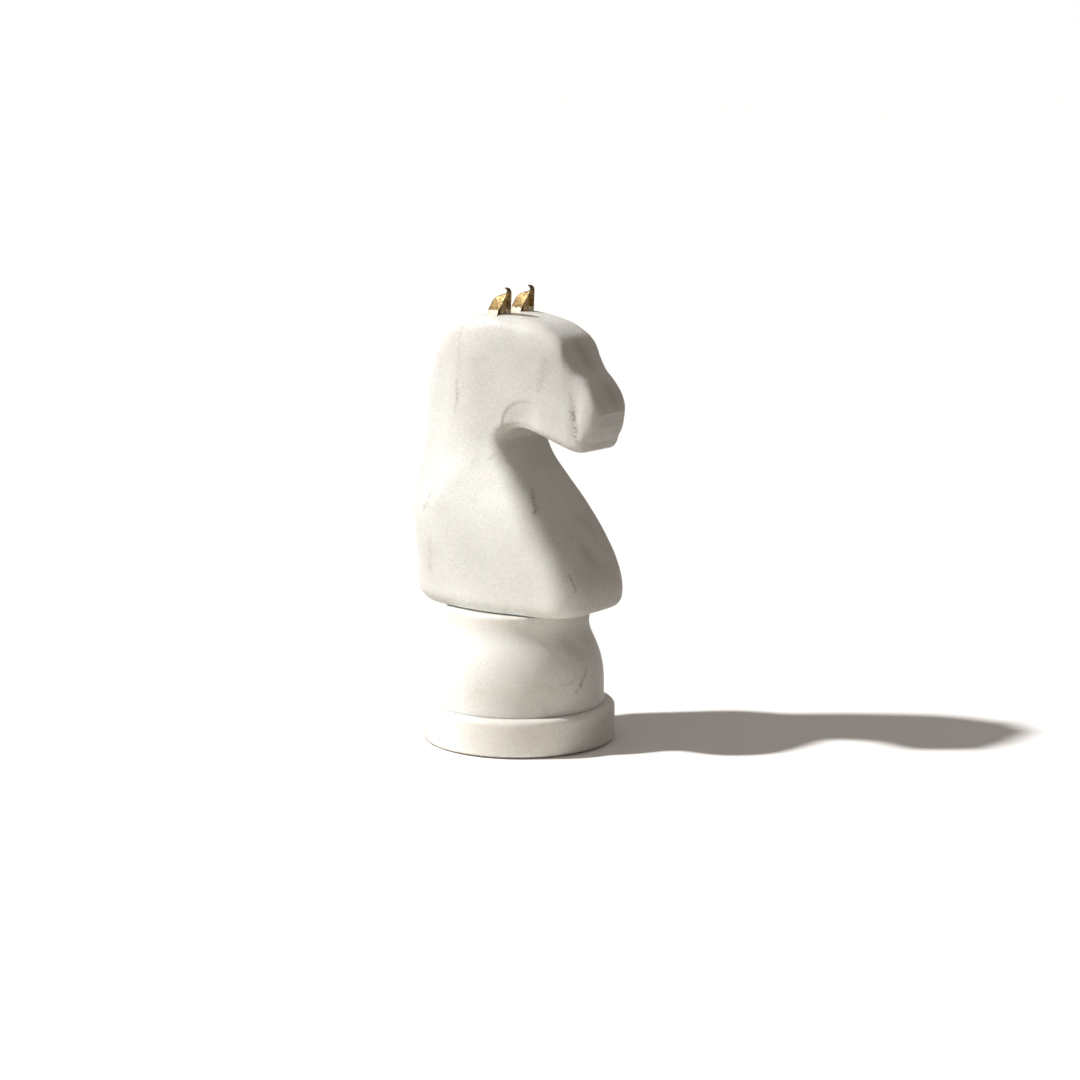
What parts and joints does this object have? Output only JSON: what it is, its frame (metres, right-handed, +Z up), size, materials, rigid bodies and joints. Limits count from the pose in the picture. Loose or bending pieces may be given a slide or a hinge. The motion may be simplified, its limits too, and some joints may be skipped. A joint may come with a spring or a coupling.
{
  "type": "chess knight sculpture",
  "caption": "Carved marble horse's head and neck with brass ears on a waisted round stem and plinth, pinned together; stands free on a felt pad.",
  "frame": {"origin": "centre of the felt pad's underside, on the axis of the turned stem and plinth", "axes": "+Z up, +X the way the horse looks, +Y to the horse's left"},
  "size_m": [0.1877, 0.17, 0.3999],
  "materials": {
    "marble": "honed white marble with faint grey veins",
    "cast_brass": "hammered antique",
    "turned_brass": "as turned",
    "zinc_steel": "zinc plated",
    "felt": "wool felt"
  },
  "bodies": {
    "root": {"bust": "marble", "stem": "marble", "plinth": "marble", "ear_right": "cast_brass", "ear_left": "cast_brass", "ear_stud_right": "turned_brass", "ear_stud_left": "turned_brass", "tie_rod": "zinc_steel", "rod_sleeve": "turned_brass", "washer": "zinc_steel", "spring_washer": "zinc_steel", "nut": "zinc_steel", "bust_dowel_front": "zinc_steel", "bust_dowel_rear": "zinc_steel", "plinth_dowel_right": "zinc_steel", "plinth_dowel_left": "zinc_steel", "felt_pad": "felt"}
  },
  "joints": []
}
